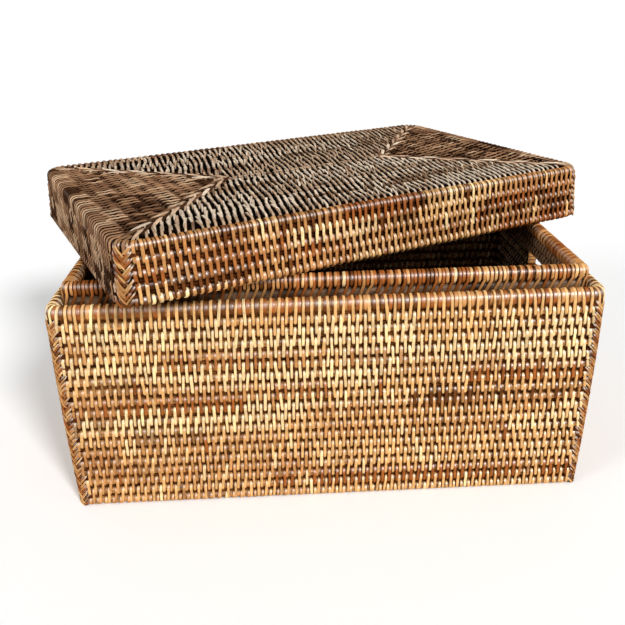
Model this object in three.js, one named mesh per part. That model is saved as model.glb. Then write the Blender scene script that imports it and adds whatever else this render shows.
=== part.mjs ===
// Lidded storage box of lashed rattan. Rods bent into rectangular courses are stacked to make the
// walls, and laid inside each other to make the floor and the lid top. A thicker roll borders the
// wall, a lip of three rods stands inside it, and each end has a hand hole. The lift-off lid has
// been put down askew: it is turned in plan and lies flat across the lip.
// Millimetres, +Z up. The origin is the middle of the underside of the box.

import * as THREE from 'three';

// Driving dimensions
const boxWidth = 466; // over the border roll, left to right
const boxDepth = 289; // over the border roll, front to back
const rodDiameter = 10; // one wall rod with its lashing
const wallCourses = 18; // rods stacked from the floor up to the border roll
const seatGap = 0.3; // clearance between pieces that rest on each other
const wallBulge = 0.7; // how far the walls swell outward at half height
const footTaper = 0.8; // how far the foot draws in on each side
const cornerRadius = 14; // outside bend of the wall rods and the border roll
const sharpBend = 0.2; // inside bend of the stacked rods, which lie tight at the corners
const borderDiameter = 12.5; // the wrapped roll on top of the wall
const lipRollDiameter = 12.5; // the wrapped roll on top of the lip
const lipRise = 17; // height of the lip above the border roll
const lipCornerRadius = 8; // outside bend of the lip
const lipRods = ['lip_middle_rod', 'lip_lower_rod']; // rods under the lip roll, from the top down
const lipClearance = 0.5; // between the lip and what it stands in
const handleLength = 64; // hand hole in each end wall, front to back
const handleCourses = 3; // wall rods that each hand hole cuts, counted down from the border roll
const frameThickness = 2.5; // split rattan that lines a hand hole
const floorRods = 13; // rods from the rim of the floor to its middle, the centre bar included
const lidCourses = 5; // rods in the height of the lid
const lidTopRods = 13; // rods from the rim of the lid top to its middle, the centre bar included
const lidClearance = 1.5; // between the lip and the inside of the lid
const lidFlare = 2.8; // how far the lid skirt spreads at its lower edge
const lidCornerRadius = 22; // outside bend of the lid skirt
const lidTurn = 25.5; // degrees, the lid's turn in plan
const lidShiftX = -8.9; // where the middle of the turned lid lies
const lidShiftY = 36.6;

// Facets of a bent rod
const cornerSteps = 3;
const sectionSides = 8;

// Sizes worked out from the driving dimensions
const coursePitch = rodDiameter + seatGap;
const wallHeight = wallCourses * coursePitch;
const ledgeHeight = wallHeight + borderDiameter;
const lipTop = ledgeHeight + lipRise;
const lipInset = Math.max(borderDiameter, rodDiameter) + lipClearance;
const lidInset = lipInset - lidClearance - rodDiameter;

// Finishes
function rattan(colour, roughness) {
  return new THREE.MeshStandardMaterial({ color: colour, roughness, metalness: 0 });
}

const wallRattan = rattan(0xb98240, 0.45);
const rimRattan = rattan(0xa8682c, 0.4);
const innerRattan = rattan(0x5d3d22, 0.55);
const lidRattan = rattan(0x9a6330, 0.45);
const lidTopRattan = rattan(0x6b4c31, 0.55);

// Section of a rod, wide outward and tall upward, with a flat on each side where rods meet
function rodSection(width, height) {
  const turn = Math.PI / sectionSides;
  const reach = Math.cos(turn);
  return Array.from({ length: sectionSides }, (_, side) => {
    const angle = turn * (2 * side + 1);
    return new THREE.Vector2(width * Math.cos(angle), height * Math.sin(angle)).divideScalar(2 * reach);
  });
}

// Corner arc of a rounded rectangle, in quadrant 0 to 3 anticlockwise from +X +Y
function cornerArc(halfWidth, halfDepth, radius, quadrant) {
  const sideX = quadrant === 0 || quadrant === 3 ? 1 : -1;
  const sideY = quadrant < 2 ? 1 : -1;
  return Array.from({ length: cornerSteps + 1 }, (_, step) => {
    const angle = (quadrant + step / cornerSteps) * Math.PI / 2;
    return new THREE.Vector2(
      sideX * (halfWidth - radius) + radius * Math.cos(angle),
      sideY * (halfDepth - radius) + radius * Math.sin(angle),
    );
  });
}

// Plan of a whole course with bent corners
function roundedPlan(halfWidth, halfDepth, radius) {
  return [0, 1, 2, 3].flatMap((quadrant) => cornerArc(halfWidth, halfDepth, radius, quadrant));
}

// Plan of a whole course with mitred corners
function mitredPlan(halfWidth, halfDepth) {
  return [[1, 1], [-1, 1], [-1, -1], [1, -1]].map(
    ([sideX, sideY]) => new THREE.Vector2(sideX * halfWidth, sideY * halfDepth),
  );
}

// Plan of half a course: the front or back side and its two corners, ending at the hand holes
function halfPlan(halfWidth, halfDepth, radius, front, endDistance) {
  const quadrants = front ? [2, 3] : [0, 1];
  const side = front ? -1 : 1;
  return [
    new THREE.Vector2(side * halfWidth, side * endDistance),
    ...quadrants.flatMap((quadrant) => cornerArc(halfWidth, halfDepth, radius, quadrant)),
    new THREE.Vector2(-side * halfWidth, side * endDistance),
  ];
}

// Sweeps a rod section along a level plan. planAt gives the plan's points at a distance outward
// from the rod's middle line. An open rod gets a flat face at each end.
function sweptRod(planAt, section, middleHeight, closed) {
  const lines = section.map((corner) => planAt(corner.x));
  const stations = lines[0].length;
  const sides = section.length;
  const positions = [];
  for (let station = 0; station < stations; station += 1) {
    lines.forEach((line, side) => {
      positions.push(line[station].x, line[station].y, middleHeight + section[side].y);
    });
  }
  const faces = [];
  const spans = closed ? stations : stations - 1;
  for (let span = 0; span < spans; span += 1) {
    const here = span * sides;
    const there = ((span + 1) % stations) * sides;
    for (let side = 0; side < sides; side += 1) {
      const next = (side + 1) % sides;
      faces.push(here + side, there + side, there + next);
      faces.push(here + side, there + next, here + next);
    }
  }
  if (!closed) {
    const last = (stations - 1) * sides;
    for (let side = 1; side < sides - 1; side += 1) {
      faces.push(0, side, side + 1);
      faces.push(last, last + side + 1, last + side);
    }
  }
  const geometry = new THREE.BufferGeometry();
  geometry.setAttribute('position', new THREE.Float32BufferAttribute(positions, 3));
  geometry.setIndex(faces);
  geometry.computeVertexNormals();
  return geometry;
}

function addPiece(group, name, geometry, material) {
  const piece = new THREE.Mesh(geometry, material);
  piece.name = name;
  group.add(piece);
  return piece;
}

// Bend of a stacked rod at a distance outward from its middle line
function bendAt(out, radius, outerBend) {
  return THREE.MathUtils.mapLinear(out, -radius, radius, sharpBend, outerBend);
}

// A whole course of round rod, from its outer half sizes and the height of its underside
function courseGeometry(halfWidth, halfDepth, diameter, underside, outerBend = cornerRadius) {
  const radius = diameter / 2;
  const planAt = (out) => {
    const inset = radius - out;
    return roundedPlan(halfWidth - inset, halfDepth - inset, bendAt(out, radius, outerBend));
  };
  return sweptRod(planAt, rodSection(diameter, diameter), underside + radius, true);
}

// Half a course, which ends at the hand holes
function halfCourseGeometry(halfWidth, halfDepth, diameter, underside, front) {
  const radius = diameter / 2;
  const end = handleLength / 2 + seatGap;
  const planAt = (out) => {
    const inset = radius - out;
    const bend = bendAt(out, radius, cornerRadius);
    return halfPlan(halfWidth - inset, halfDepth - inset, bend, front, end);
  };
  return sweptRod(planAt, rodSection(diameter, diameter), underside + radius, false);
}

// How far a wall course stands out from the border roll
function wallSpread(course) {
  const rise = (course - 0.5) / wallCourses;
  return wallBulge * 4 * rise * (1 - rise) - footTaper * (1 - rise) ** 2;
}

function courseName(stem, number) {
  return `${stem}_${String(number).padStart(2, '0')}`;
}

// Walls, from the floor up; the courses at the hand holes are in a front and a back half
function addWalls(group) {
  for (let course = 1; course <= wallCourses; course += 1) {
    const name = courseName('wall_course', course);
    const size = [
      boxWidth / 2 + wallSpread(course),
      boxDepth / 2 + wallSpread(course),
      rodDiameter,
      (course - 1) * coursePitch,
    ];
    if (course <= wallCourses - handleCourses) {
      addPiece(group, name, courseGeometry(...size), wallRattan);
    } else {
      addPiece(group, `${name}_front`, halfCourseGeometry(...size, true), wallRattan);
      addPiece(group, `${name}_back`, halfCourseGeometry(...size, false), wallRattan);
    }
  }
}

// Border roll on the wall, and the lip that the lid fits over
function addRim(group) {
  const border = courseGeometry(boxWidth / 2, boxDepth / 2, borderDiameter, wallHeight);
  addPiece(group, 'border_roll', border, rimRattan);

  const halfWidth = boxWidth / 2 - lipInset;
  const halfDepth = boxDepth / 2 - lipInset;
  const lipCourse = (...size) => courseGeometry(halfWidth, halfDepth, ...size, lipCornerRadius);
  const rollUnderside = lipTop - lipRollDiameter;
  addPiece(group, 'lip_top_roll', lipCourse(lipRollDiameter, rollUnderside), rimRattan);
  lipRods.forEach((name, row) => {
    const underside = rollUnderside - (row + 1) * coursePitch;
    addPiece(group, name, lipCourse(rodDiameter, underside), innerRattan);
  });
}

// Draws a rectangle about the middle of a path
function rectanglePath(path, length, height) {
  path.moveTo(-length / 2, -height / 2);
  path.lineTo(length / 2, -height / 2);
  path.lineTo(length / 2, height / 2);
  path.lineTo(-length / 2, height / 2);
  path.closePath();
  return path;
}

// Split-rattan frames that line the hand holes through both end walls
function addHandleFrames(group) {
  const height = handleCourses * coursePitch - seatGap;
  const bare = 2 * frameThickness;
  const outline = rectanglePath(new THREE.Shape(), handleLength, height);
  outline.holes.push(rectanglePath(new THREE.Path(), handleLength - bare, height - bare));
  const middleCourse = wallCourses - (handleCourses - 1) / 2;
  const middleHeight = (wallCourses - handleCourses) * coursePitch + height / 2;
  const outerFace = boxWidth / 2 + wallSpread(middleCourse);
  const leftFaces = { handle_frame_left: -outerFace, handle_frame_right: outerFace - rodDiameter };
  Object.entries(leftFaces).forEach(([name, leftFace]) => {
    const geometry = new THREE.ExtrudeGeometry(outline, { depth: rodDiameter, bevelEnabled: false });
    const frame = addPiece(group, name, geometry, innerRattan);
    frame.rotation.set(Math.PI / 2, 0, Math.PI / 2, 'ZYX');
    frame.position.set(leftFace, 0, middleHeight);
  });
}

// A level mat of rods laid inside each other, mitred on the diagonals, with a bar in the middle.
// halfWidth and halfDepth are the inside of the course that holds the mat.
function addMat(group, { stem, rods, halfWidth, halfDepth, underside, material }) {
  const pitch = (halfDepth - seatGap) / (rods - 0.5);
  const width = pitch - seatGap;
  const middleHeight = underside + rodDiameter / 2;
  const section = rodSection(width, rodDiameter);
  for (let rod = 1; rod < rods; rod += 1) {
    const outerInset = seatGap + (rod - 1) * pitch;
    const planAt = (out) => {
      const inset = outerInset + width / 2 - out;
      return mitredPlan(halfWidth - inset, halfDepth - inset);
    };
    const geometry = sweptRod(planAt, section, middleHeight, true);
    addPiece(group, courseName(`${stem}_course`, rod), geometry, material);
  }
  const halfLength = halfWidth - seatGap - (rods - 1) * pitch;
  const barAt = (out) => [new THREE.Vector2(-halfLength, -out), new THREE.Vector2(halfLength, -out)];
  addPiece(group, `${stem}_centre_bar`, sweptRod(barAt, section, middleHeight, false), material);
}

// Floor, inside the lowest wall course
function addFloor(group) {
  const inset = rodDiameter - wallSpread(1);
  addMat(group, {
    stem: 'floor',
    rods: floorRods,
    halfWidth: boxWidth / 2 - inset,
    halfDepth: boxDepth / 2 - inset,
    underside: 0,
    material: innerRattan,
  });
}

// Lid, standing on its own lower edge: a skirt of courses with a mat inside the topmost one
function addLid(group) {
  const halfWidth = boxWidth / 2 - lidInset;
  const halfDepth = boxDepth / 2 - lidInset;
  for (let course = 1; course <= lidCourses; course += 1) {
    const spread = lidFlare * (lidCourses - course) / (lidCourses - 1);
    const size = [halfWidth + spread, halfDepth + spread, rodDiameter, (course - 1) * coursePitch];
    const geometry = courseGeometry(...size, lidCornerRadius);
    addPiece(group, courseName('lid_skirt_course', course), geometry, lidRattan);
  }
  addMat(group, {
    stem: 'lid_top',
    rods: lidTopRods,
    halfWidth: halfWidth - rodDiameter,
    halfDepth: halfDepth - rodDiameter,
    underside: (lidCourses - 1) * coursePitch,
    material: lidTopRattan,
  });
}

const box = new THREE.Group();
addFloor(box);
addWalls(box);
addHandleFrames(box);
addRim(box);

const lid = new THREE.Group();
addLid(lid);
lid.rotation.z = THREE.MathUtils.degToRad(lidTurn);
lid.position.set(lidShiftX, lidShiftY, lipTop + seatGap);

const lashedBox = new THREE.Group();
lashedBox.add(box, lid);

export default lashedBox;
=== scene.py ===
"""Looks of the lidded box of lashed rattan: every rod with its split-rattan lashing, floor, light and camera.

The lashing is worked out in millimetres in its body's own frame (the lid's is turned in plan), and each
piece is then placed in the CAD frame, in metres. Each visual piece stands for the CAD rod of its name.
"""

import math

import bpy
import numpy as np
from mathutils import Matrix, Vector


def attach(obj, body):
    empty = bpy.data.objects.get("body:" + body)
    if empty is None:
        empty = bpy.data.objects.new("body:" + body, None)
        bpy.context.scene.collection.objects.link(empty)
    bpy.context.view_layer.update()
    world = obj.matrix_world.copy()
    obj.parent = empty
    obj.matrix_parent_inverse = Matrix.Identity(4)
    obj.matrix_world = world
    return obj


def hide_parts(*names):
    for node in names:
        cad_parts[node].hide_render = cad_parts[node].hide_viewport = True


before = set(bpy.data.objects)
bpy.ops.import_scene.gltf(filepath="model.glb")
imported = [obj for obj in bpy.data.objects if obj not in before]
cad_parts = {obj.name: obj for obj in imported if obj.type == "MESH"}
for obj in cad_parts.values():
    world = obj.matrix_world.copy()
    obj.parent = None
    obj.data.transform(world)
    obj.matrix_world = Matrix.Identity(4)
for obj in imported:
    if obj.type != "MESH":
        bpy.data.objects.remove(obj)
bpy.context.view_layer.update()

MM = 0.001
UP = np.array([0.0, 0.0, 1.0])
CORNERS = np.array([(-1, -1), (1, -1), (1, 1), (-1, 1)], float)  # of a rectangle, from the front left
BENDS = (0, 1, 2, 3)  # of a plan, from the front right
LID_TURN = math.radians(25.5)  # in plan, about the middle of its centre bar

# Lashing, in millimetres; counts are of stitches on a front, a bend, an end and a bend
WALL_COUNTS = (64, 0, 38, 0)
ROLL_COUNTS = (64, 3, 38, 3)
LIP_COUNTS = (63, 2, 37, 2)
LID_COUNTS = (68, 0, 41, 0)
LID_EDGE_COUNTS = (66, 5, 39, 5)
ROW_DRIFTS = ((0.5, 7), (0.4, 17))  # along a row: how far, and how often in one turn
ROW_JITTER = 0.22
STRIP_WIDTH = 2.5
STRIP_THICKNESS = 1.0
STRIP_WIDTHS = (0.86, 1.12)  # least and most, of the usual width
STRIP_THICKNESSES = (0.85, 1.15)
STRIP_TAPER = (0.7, 0.92)  # a strip's width at its ends and next to them

# Leans of the stitches, in degrees
LEAN_JITTER = 2.5
WALL_LEAN = 4.5  # at the two ends of the front
BORDER_LEAN = 5.0
FOOT_LEAN = (4.0, 0.6)  # at the foot of the wall, and what each course loses of it
INNER_LEAN = 8.0
LID_LEAN = -3.0
LIP_TIE_LEAN = 22.0

# Widths of strips, in millimetres
LID_STRIP = 2.7
LID_BACK_STRIP = 3.0
LID_END_STRIP = 2.4
EDGE_WRAP = 1.7  # between those on the lid's front edge
BORDER_WRAP = 3.2  # the short wraps
LIP_WRAP = 2.6
LIP_TIE = 2.4
FRAME_WRAP = 3.3
BRAID_STRIP = 1.7

# Hand hole frames and the braids at the corners, in millimetres
FRAME_THICKNESS = 2.5  # of a bar
FRAME_PITCH = 3.6  # between wraps
FRAME_END = 2.0  # of a bar, without wraps
BRAID_STARTS = (8.0, 3.0)  # heights over the middle of a rod
EDGE_BRAID_STARTS = (2.0,)
BRAID_LOW = -9.0  # lowest height that they reach
LID_BRAID_LOW = -3.6  # the same on the lid's lowest course
BRAID_DROP = 12.0  # height that a braid's strip crosses
BRAID_REACH = 8.6  # from the middle of a bend to a strip's start
BRAID_SWING = 10.6  # from there to its end
BRAID_PAIR = 2.2  # between the two strips of a pair
BRAID_SHIFT = 0.5  # of single strips, along the bend and up
BRAID_RISE = 0.4
BRAID_OVER = 0.45  # how far one pair lies over the other
BRAID_LIFT = np.array([-2.2, -0.4, 0.2, 0.5, 0.6, 0.5, 0.2, -0.4, -2.2])  # off the rods, along a strip

# Floor and lid top, which are mats of rods laid flat, in millimetres
MAT_RODS = 12  # without the centre bar
MAT_GAP = 0.3  # between two rods
MAT_OVERLAP = 0.2  # of the rods' own surfaces into it
TOP_PITCH = 6.15  # between stitches, front and back
END_PITCH = 7.6  # between stitches, left and right
TOP_STEP = 2.6  # sideways, front and back, from rod to rod
TOP_LEAN = 0.25  # sideways, front and back
RIGHT_LEAN = -0.3
LEFT_LEAN = -0.1
MAT_LEAN_JITTER = 0.08
MAT_JITTER = 0.25
TOP_WAVE = 1.3  # how far the front and back stitches swing to either side
WAVE_LENGTH = 55.0  # along a rod, for a radian of the swing
WAVE_TURN = 0.75  # radians of the swing from rod to rod
TOP_STRIP = 2.5  # width of the stitches, front and back
END_STRIP = 2.1
TOP_EDGE_SHADE = 0.25  # painted shade: light left at the edges of the stitches, front and back
HIP_STRIP = 3.2  # along the diagonals
HIP_CLEAR = 3.4  # from the diagonals to the nearest stitches
HIP_LENGTH = 2.1  # rods that such a strip crosses
HIP_SPREAD = (4.0, 3.6)  # from the diagonal at a strip's start, and what is gone of it at its end
HIP_LIFT = np.array([-1.5, 0.1, 0.5, 0.6, 0.5, 0.1, -1.5])  # off the rods, along a strip
MAT_END_SHADE = 0.35  # painted shade: light left on the rods themselves, left and right

# Painted highlights and painted shade, gloss, and tone that differs at random
HIGHLIGHT_TILT = math.radians(32)  # of the faces where the key lamp's highlight falls towards the camera: their gloss is raised and their colour painted pale, a painted highlight
HIGHLIGHT_SPREAD = math.radians(13)
HIGHLIGHT_PAINT = 0.2  # how far those faces are painted pale: a painted highlight
DULL_GLOSS = 0.04  # gloss that the other places keep
ODD_STITCHES = 0.12  # share of stitches that don't have the colour of their run
STITCH_LIGHT = 0.1  # spread of the light of single stitches
STITCH_RANGE = (0.7, 1.3)
FIRST_CREVICE_SHADE = (0.55, 0.775)  # painted shade: light on a strip where it comes out from between the rods
LAST_CREVICE_SHADE = (0.725, 0.45)  # and where it goes in
RUN_SHARE = 0.8  # of the stitches in a run that stands out, and how far they take its colour
RUN_STRENGTH = 0.7
CREVICE_LIGHT = 0.12  # painted shade: light left where a rod turns into a crevice
# The same painted shade on the mats' rods, which keep light only at their crests
MAT_CREVICE_LIGHT = 0.02
FLECKS = 0.38  # spread of the light of a rod's flecks
FLECK_RANGE = (0.35, 1.8)
BLOTCH = 9  # stations over which a rod's colour changes
LID_END_SHADE = 0.25  # painted shade: light left on the lid's rods at its ends
LID_BRAID_LEVEL = 0.8
BRAID_LEVEL = 0.85
EDGE_WRAP_SHADE = 0.55  # painted shade on the strips that EDGE_WRAP is for, which lie recessed between the others
LIP_GLOSS = 0.75

# Rods, in millimetres
CORNER_RADIUS = 14.0  # outside bend of the wall rods and the border roll
LID_CORNER_RADIUS = 22.0
LIP_CORNER_RADIUS = 8.0
HAND_HOLE_HALF = 32.3  # from the middle of an end wall to the cut rods
COURSES = 18
HALVED = (16, 17, 18)  # wall courses that the hand holes cut
LID_COURSES = 5
CORE = 4.0  # from a rod's middle to the underside of its lashing
SLACK = 0.6  # between the lashing and the rod's own face
RISE = 3.9  # from a rod's middle up or down to its own face
MEET = 5.2  # the same for a rod that meets the next one
CREVICE = (2.3, 1.7, 1.7)  # dark filling between two rods: painted shade in the crevice
CORNER_FILL = (5.4, 2.7, 2.7)  # the same behind the braid at a bend
ROD_STATION = 3.5  # length of one piece of a rod's surface
BEND_STATIONS = 7
FACING = 0.9  # a stitch faces a side if its outward direction is this near to it
BEND_SPLIT = 0.5  # the same, with the bends shared out
BRAID_HALF = 11.0  # of a bend that a braid covers, to either side
ROD_SIDES = 12
ROD_ANGLES = np.arange(ROD_SIDES) * 2 * math.pi / ROD_SIDES
GROUND = 0.05  # nothing reaches lower

# Where each piece's surface lies on the map that its looks are baked to, and on its fibres
BAKE_BAND = 0.2  # height of a whole rod's band
BAND_FILL = 0.95
CELL_FILL = 0.9  # share of its cell that a strip takes up
STRIP_FIBRES = 400.0  # where a strip begins on its fibres, at most
ROD_FIBRES = 300.0

# Sections of a strip: across it (-1 to 1), and up from the face that lies on the rod (0 to 1)
CROWNED = np.array([
    (-1, 0.05), (-0.95, 0.5), (-0.78, 0.8), (-0.5, 0.88), (0.5, 0.88), (0.78, 0.8), (0.95, 0.5), (1, 0.05),
])
PLAIN = np.array([(-1, 0.0), (-0.5, 0.9), (0.5, 0.9), (1, 0.0)])

# Paths of strips: out from the face that the lashing lies on, and up from the rod's middle
HEAD = np.array([  # the upper part of a stitch
    (-2.2, 3.4), (-1.45, 3.2), (-0.75, 2.78), (-0.2, 1.87), (0.35, 0.95), (0.45, -0.2), (0.15, -1.6),
])
BRIDGE = np.array([(0.0, -0.3), (-0.3, -0.52), (0.0, -0.77)])  # up in shares of the way to the next rod
BORDER_DROP = np.array([(0.0, -4.5), (0.0, -8.0), (0.1, -11.0), (-0.2, -12.8), (-1.2, -14.2), (-2.6, -15.0)])
LIP_DROP = np.array([(0.0, -4.0), (-0.5, -7.5), (-0.6, -11.5), (-0.9, -14.5), (-2.4, -16.5)])
# Painted shade along a lip tie: darker where it leaves the roll, and more so down its lower end under the
# roll
LIP_TIE_SHADE = np.array([0.6, 0.9] + [1.0] * 7 + [0.95, 0.8, 0.66, 0.58, 0.5, 0.4])

# The same over the lid's back and end edges, from the first rod of its top, out from the edge rod's middle
OVER_EDGE = np.array([(-13.0, 1.5), (-11.8, 3.7), (-9.0, 4.1), (-5.2, 3.9), (-2.4, 4.1)])

# A bar of a hand hole frame and the wrap round it: out of the hole, and through a wall 10 mm thick
FRAME_BAR = np.array([(-0.9, -4.6), (0.9, -4.6), (0.9, 4.6), (-0.9, 4.6)])
FRAME_AROUND = np.array([
    (0.95, -2.0), (0.95, 0.0), (0.95, 4.2), (0.4, 5.0), (-0.4, 5.0), (-0.95, 4.2), (-0.95, 0.0),
    (-0.95, -4.2), (-0.4, -5.0), (0.4, -5.0), (0.95, -4.2), (0.95, -2.2),
])


def tone(red, green, blue, gloss=1.0):
    """An 8-bit display colour as linear light, with the share of varnish on it."""
    share = np.array([red, green, blue]) / 255
    light = np.where(share <= 0.04045, share / 12.92, ((share + 0.055) / 1.055) ** 2.4)
    return np.append(light, gloss)


PALE = tone(246, 210, 152)
HONEY = tone(230, 178, 114)
TAN = tone(202, 144, 86)
RED_BROWN = tone(162, 92, 40)
BROWN = tone(112, 64, 26)
SOOT = tone(52, 52, 54, 0.3)
# The pale that the painted highlights blend towards
HIGHLIGHT_PALE = tone(252, 240, 222)
DULL_HONEY = tone(202, 166, 132, 0.1)
DULL_TAN = tone(162, 122, 90, 0.1)
DULL_BROWN = tone(130, 94, 68, 0.1)
DULL_DARK = tone(76, 50, 33, 0.1)
INNER_TAN = tone(196, 170, 138, 0.1)
INNER_PALE = tone(240, 220, 190, 0.1)
TOP_PALE = tone(252, 228, 200, 0.25)
TOP_TAN = tone(214, 180, 148, 0.25)
TOP_BROWN = tone(164, 128, 98, 0.25)

# Shares of the strip colours in each region
WALL_STRIPS = [(PALE, 0.28), (HONEY, 0.5), (TAN, 0.16), (RED_BROWN, 0.04), (BROWN, 0.02)]
UPPER_STRIPS = [(PALE, 0.65), (HONEY, 0.35)]
LONG_WRAPS = [(PALE, 0.5), (HONEY, 0.5)]
SHORT_WRAPS = [(TAN, 0.15), (RED_BROWN, 0.45), (BROWN, 0.4)]
LIP_WRAPS = [(PALE, 0.06), (HONEY, 0.2), (TAN, 0.3), (RED_BROWN, 0.28), (BROWN, 0.16)]
LIP_TIES = [(TAN, 0.35), (RED_BROWN, 0.45), (BROWN, 0.2)]
BRAIDS = [(HONEY, 0.2), (TAN, 0.35), (RED_BROWN, 0.3), (BROWN, 0.15)]
FRAME_WRAPS = [(TAN, 0.5), (BROWN, 0.5)]
LID_STRIPS = [(PALE, 0.06), (HONEY, 0.2), (TAN, 0.36), (RED_BROWN, 0.24), (BROWN, 0.14)]
LID_END_STRIPS = [(DULL_HONEY, 0.34), (DULL_TAN, 0.34), (DULL_BROWN, 0.18), (DULL_DARK, 0.14)]
TOP_STRIPS = [(TOP_PALE, 0.5), (TOP_TAN, 0.38), (TOP_BROWN, 0.12)]
BACK_EDGE = [(TOP_TAN, 0.5), (TOP_BROWN, 0.3), (DULL_BROWN, 0.2)]
TOP_ENDS = [(DULL_HONEY, 0.1), (DULL_TAN, 0.32), (DULL_BROWN, 0.32), (DULL_DARK, 0.26)]
HIPS = ([(TOP_PALE, 0.4), (TOP_TAN, 0.6)], [(DULL_BROWN, 0.4), (DULL_DARK, 0.6)])
INNER_STRIPS = [(INNER_PALE, 0.6), (INNER_TAN, 0.4)]
INNER_FACE = (INNER_STRIPS, INNER_STRIPS)
LIP_LINING = [(DULL_TAN, 0.5), (DULL_BROWN, 0.3), (DULL_DARK, 0.2)]

# The lighter and darker colour of the rods themselves in each region, and of the dark painted shade that
# fills the crevices
WALL_CORE = (tone(192, 136, 78, 0.7), tone(116, 72, 38, 0.5))
LID_CORE = (tone(110, 66, 34, 0.4), tone(48, 26, 13, 0.2))
# Almost black: painted shade in the gaps between the lid top's stitches
TOP_SHADED_CORE = (tone(36, 24, 16, 0.0), tone(12, 7, 4, 0.0))
LIP_CORE = (tone(122, 94, 70, 0.1), tone(66, 46, 32, 0.1))
INNER_CORE = (tone(104, 78, 54, 0.0), tone(72, 52, 36, 0.0))
# Painted shade: the dark filling of the crevices between rods and of the bends behind the braids
WALL_CREVICE_SHADE = (tone(116, 68, 32, 0.0), tone(78, 42, 18, 0.0))
CREVICE_SHADE = (tone(84, 42, 18, 0.0), tone(50, 24, 10, 0.0))

# Runs of strips that stand out: course, from x, to x along the front, colour
# The tan runs at the very left end, from x = -232 to about -190, stand for strips that are browner there and
# also paint in shade towards the front's left corner
WALL_RUNS_AND_CORNER_SHADE = [
    (17, -225, -196, TAN), (16, -232, -195, TAN), (15, -140, -30, RED_BROWN), (15, 15, 70, RED_BROWN),
    (14, 60, 150, TAN), (14, -232, -160, HONEY), (13, -205, -150, BROWN), (12, -232, -140, HONEY),
    (12, -110, -55, TAN), (12, -50, 0, RED_BROWN), (11, -232, -185, TAN), (11, 110, 232, TAN),
    (10, -225, -180, RED_BROWN), (9, -225, -200, BROWN), (9, 15, 232, HONEY), (8, -170, -105, BROWN),
    (7, -232, -190, TAN), (6, -222, -188, RED_BROWN), (5, -222, -200, TAN), (4, -232, -195, TAN),
    (3, -210, -100, TAN), (3, 120, 185, RED_BROWN), (2, -232, -195, TAN), (4, 181, 186, SOOT),
]
LID_RUNS = [
    (5, -205, -120, TAN), (5, -110, -40, TAN), (5, -34, 36, RED_BROWN), (5, 38, 128, HONEY),
    (5, 132, 222, TAN), (4, -190, -130, RED_BROWN), (4, -130, -90, TAN), (4, -60, 0, PALE),
    (4, 2, 38, BROWN), (4, 40, 110, HONEY), (4, 112, 222, RED_BROWN), (3, -200, -120, RED_BROWN),
    (3, -120, -80, TAN), (3, -60, 60, TAN), (3, 105, 222, BROWN), (2, -60, 20, TAN),
    (2, 70, 222, RED_BROWN), (1, -140, -60, TAN),
]


class Plan:
    """A rounded rectangle walked anticlockwise, from the left end of its straight front side."""

    def __init__(self, half_width, half_depth, radius):
        bend = radius * math.pi / 2
        self.half = (half_width, half_depth)
        self.radius = radius
        self.lengths = np.array([2 * (half_width - radius), bend, 2 * (half_depth - radius), bend] * 2)
        self.starts = np.concatenate([[0.0], np.cumsum(self.lengths)])
        self.total = self.starts[-1]

    def bend_middles(self):
        return self.starts[1:8:2] + self.lengths[1::2] / 2

    def at(self, distance):
        """Points, directions and outward normals in plan, at distances along the line."""
        distance = np.asarray(distance, float) % self.total
        part = np.clip(np.searchsorted(self.starts, distance, side="right") - 1, 0, 7)
        along = distance - self.starts[part]
        quarter = part // 2
        bending = part % 2 == 1
        turned = quarter * math.pi / 2 + np.where(bending, along / self.radius, 0.0)
        ahead = np.stack([np.cos(turned), np.sin(turned), 0 * turned], -1)
        outward = np.stack([np.sin(turned), -np.cos(turned), 0 * turned], -1)
        centre = np.zeros(turned.shape + (3,))
        centre[..., :2] = CORNERS[(quarter + 1) % 4] * (np.array(self.half) - self.radius)
        point = centre + self.radius * outward
        back = np.where(bending, 0.0, self.lengths[part] - along)
        return point - ahead * back[..., None], ahead, outward

    def stations(self, start, end):
        """Distances at which a rod's surface is divided, close together in the bends."""
        marks = []
        for lap in (-1, 0, 1):
            for part in range(8):
                first = self.starts[part] + lap * self.total
                count = BEND_STATIONS if part % 2 else max(2, round(self.lengths[part] / ROD_STATION))
                marks.extend(first + self.lengths[part] * np.arange(count) / count)
        marks = np.array(marks)
        inside = marks[(marks > start + 1e-6) & (marks < end - 1e-6)]
        return np.concatenate([[start], inside, [end]])

    def row(self, counts, number, rng):
        """Places of a row's stitches, so many to each side and bend, half a step off the next row's.

        A row with none on its bends goes on to the braids there, with one more stitch to a side.
        """
        places = []
        for part in range(8):
            count = counts[part % 4]
            steps = np.arange(count)
            margin = 0.0
            if part % 2 == 0 and counts[1] == 0:
                steps = np.arange(count + 1) - number % 2
                margin = self.lengths[1] / 2 - BRAID_HALF
            shares = (steps + 0.25 + 0.5 * (number % 2)) / max(count, 1)
            places.append(self.starts[part] - margin + shares * (self.lengths[part] + 2 * margin))
        places = np.concatenate(places)
        turn = 2 * math.pi * places / self.total
        starts = rng.uniform(0, 2 * math.pi, len(ROW_DRIFTS))
        drift = sum(size * np.sin(waves * turn + start) for (size, waves), start in zip(ROW_DRIFTS, starts))
        return places + drift + rng.normal(0, ROW_JITTER, len(places))


def unit(vectors):
    return vectors / np.maximum(np.linalg.norm(vectors, axis=-1, keepdims=True), 1e-9)


def shaded(tint, level):
    """Tints with their light, but not their gloss, multiplied by a level."""
    level = np.asarray(level, float)[..., None]
    return np.concatenate([tint[..., :3] * level, tint[..., 3:] * np.ones_like(level)], axis=-1)


def highlight_share(tilt):
    """How near a face, tilted upward by an angle, is to the tilt where the key lamp's highlight falls."""
    return np.exp(-((tilt - HIGHLIGHT_TILT) / HIGHLIGHT_SPREAD) ** 2)


def in_scene(name, data):
    """A new object, linked to the scene."""
    made = bpy.data.objects.new(name, data)
    bpy.context.scene.collection.objects.link(made)
    return made


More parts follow.
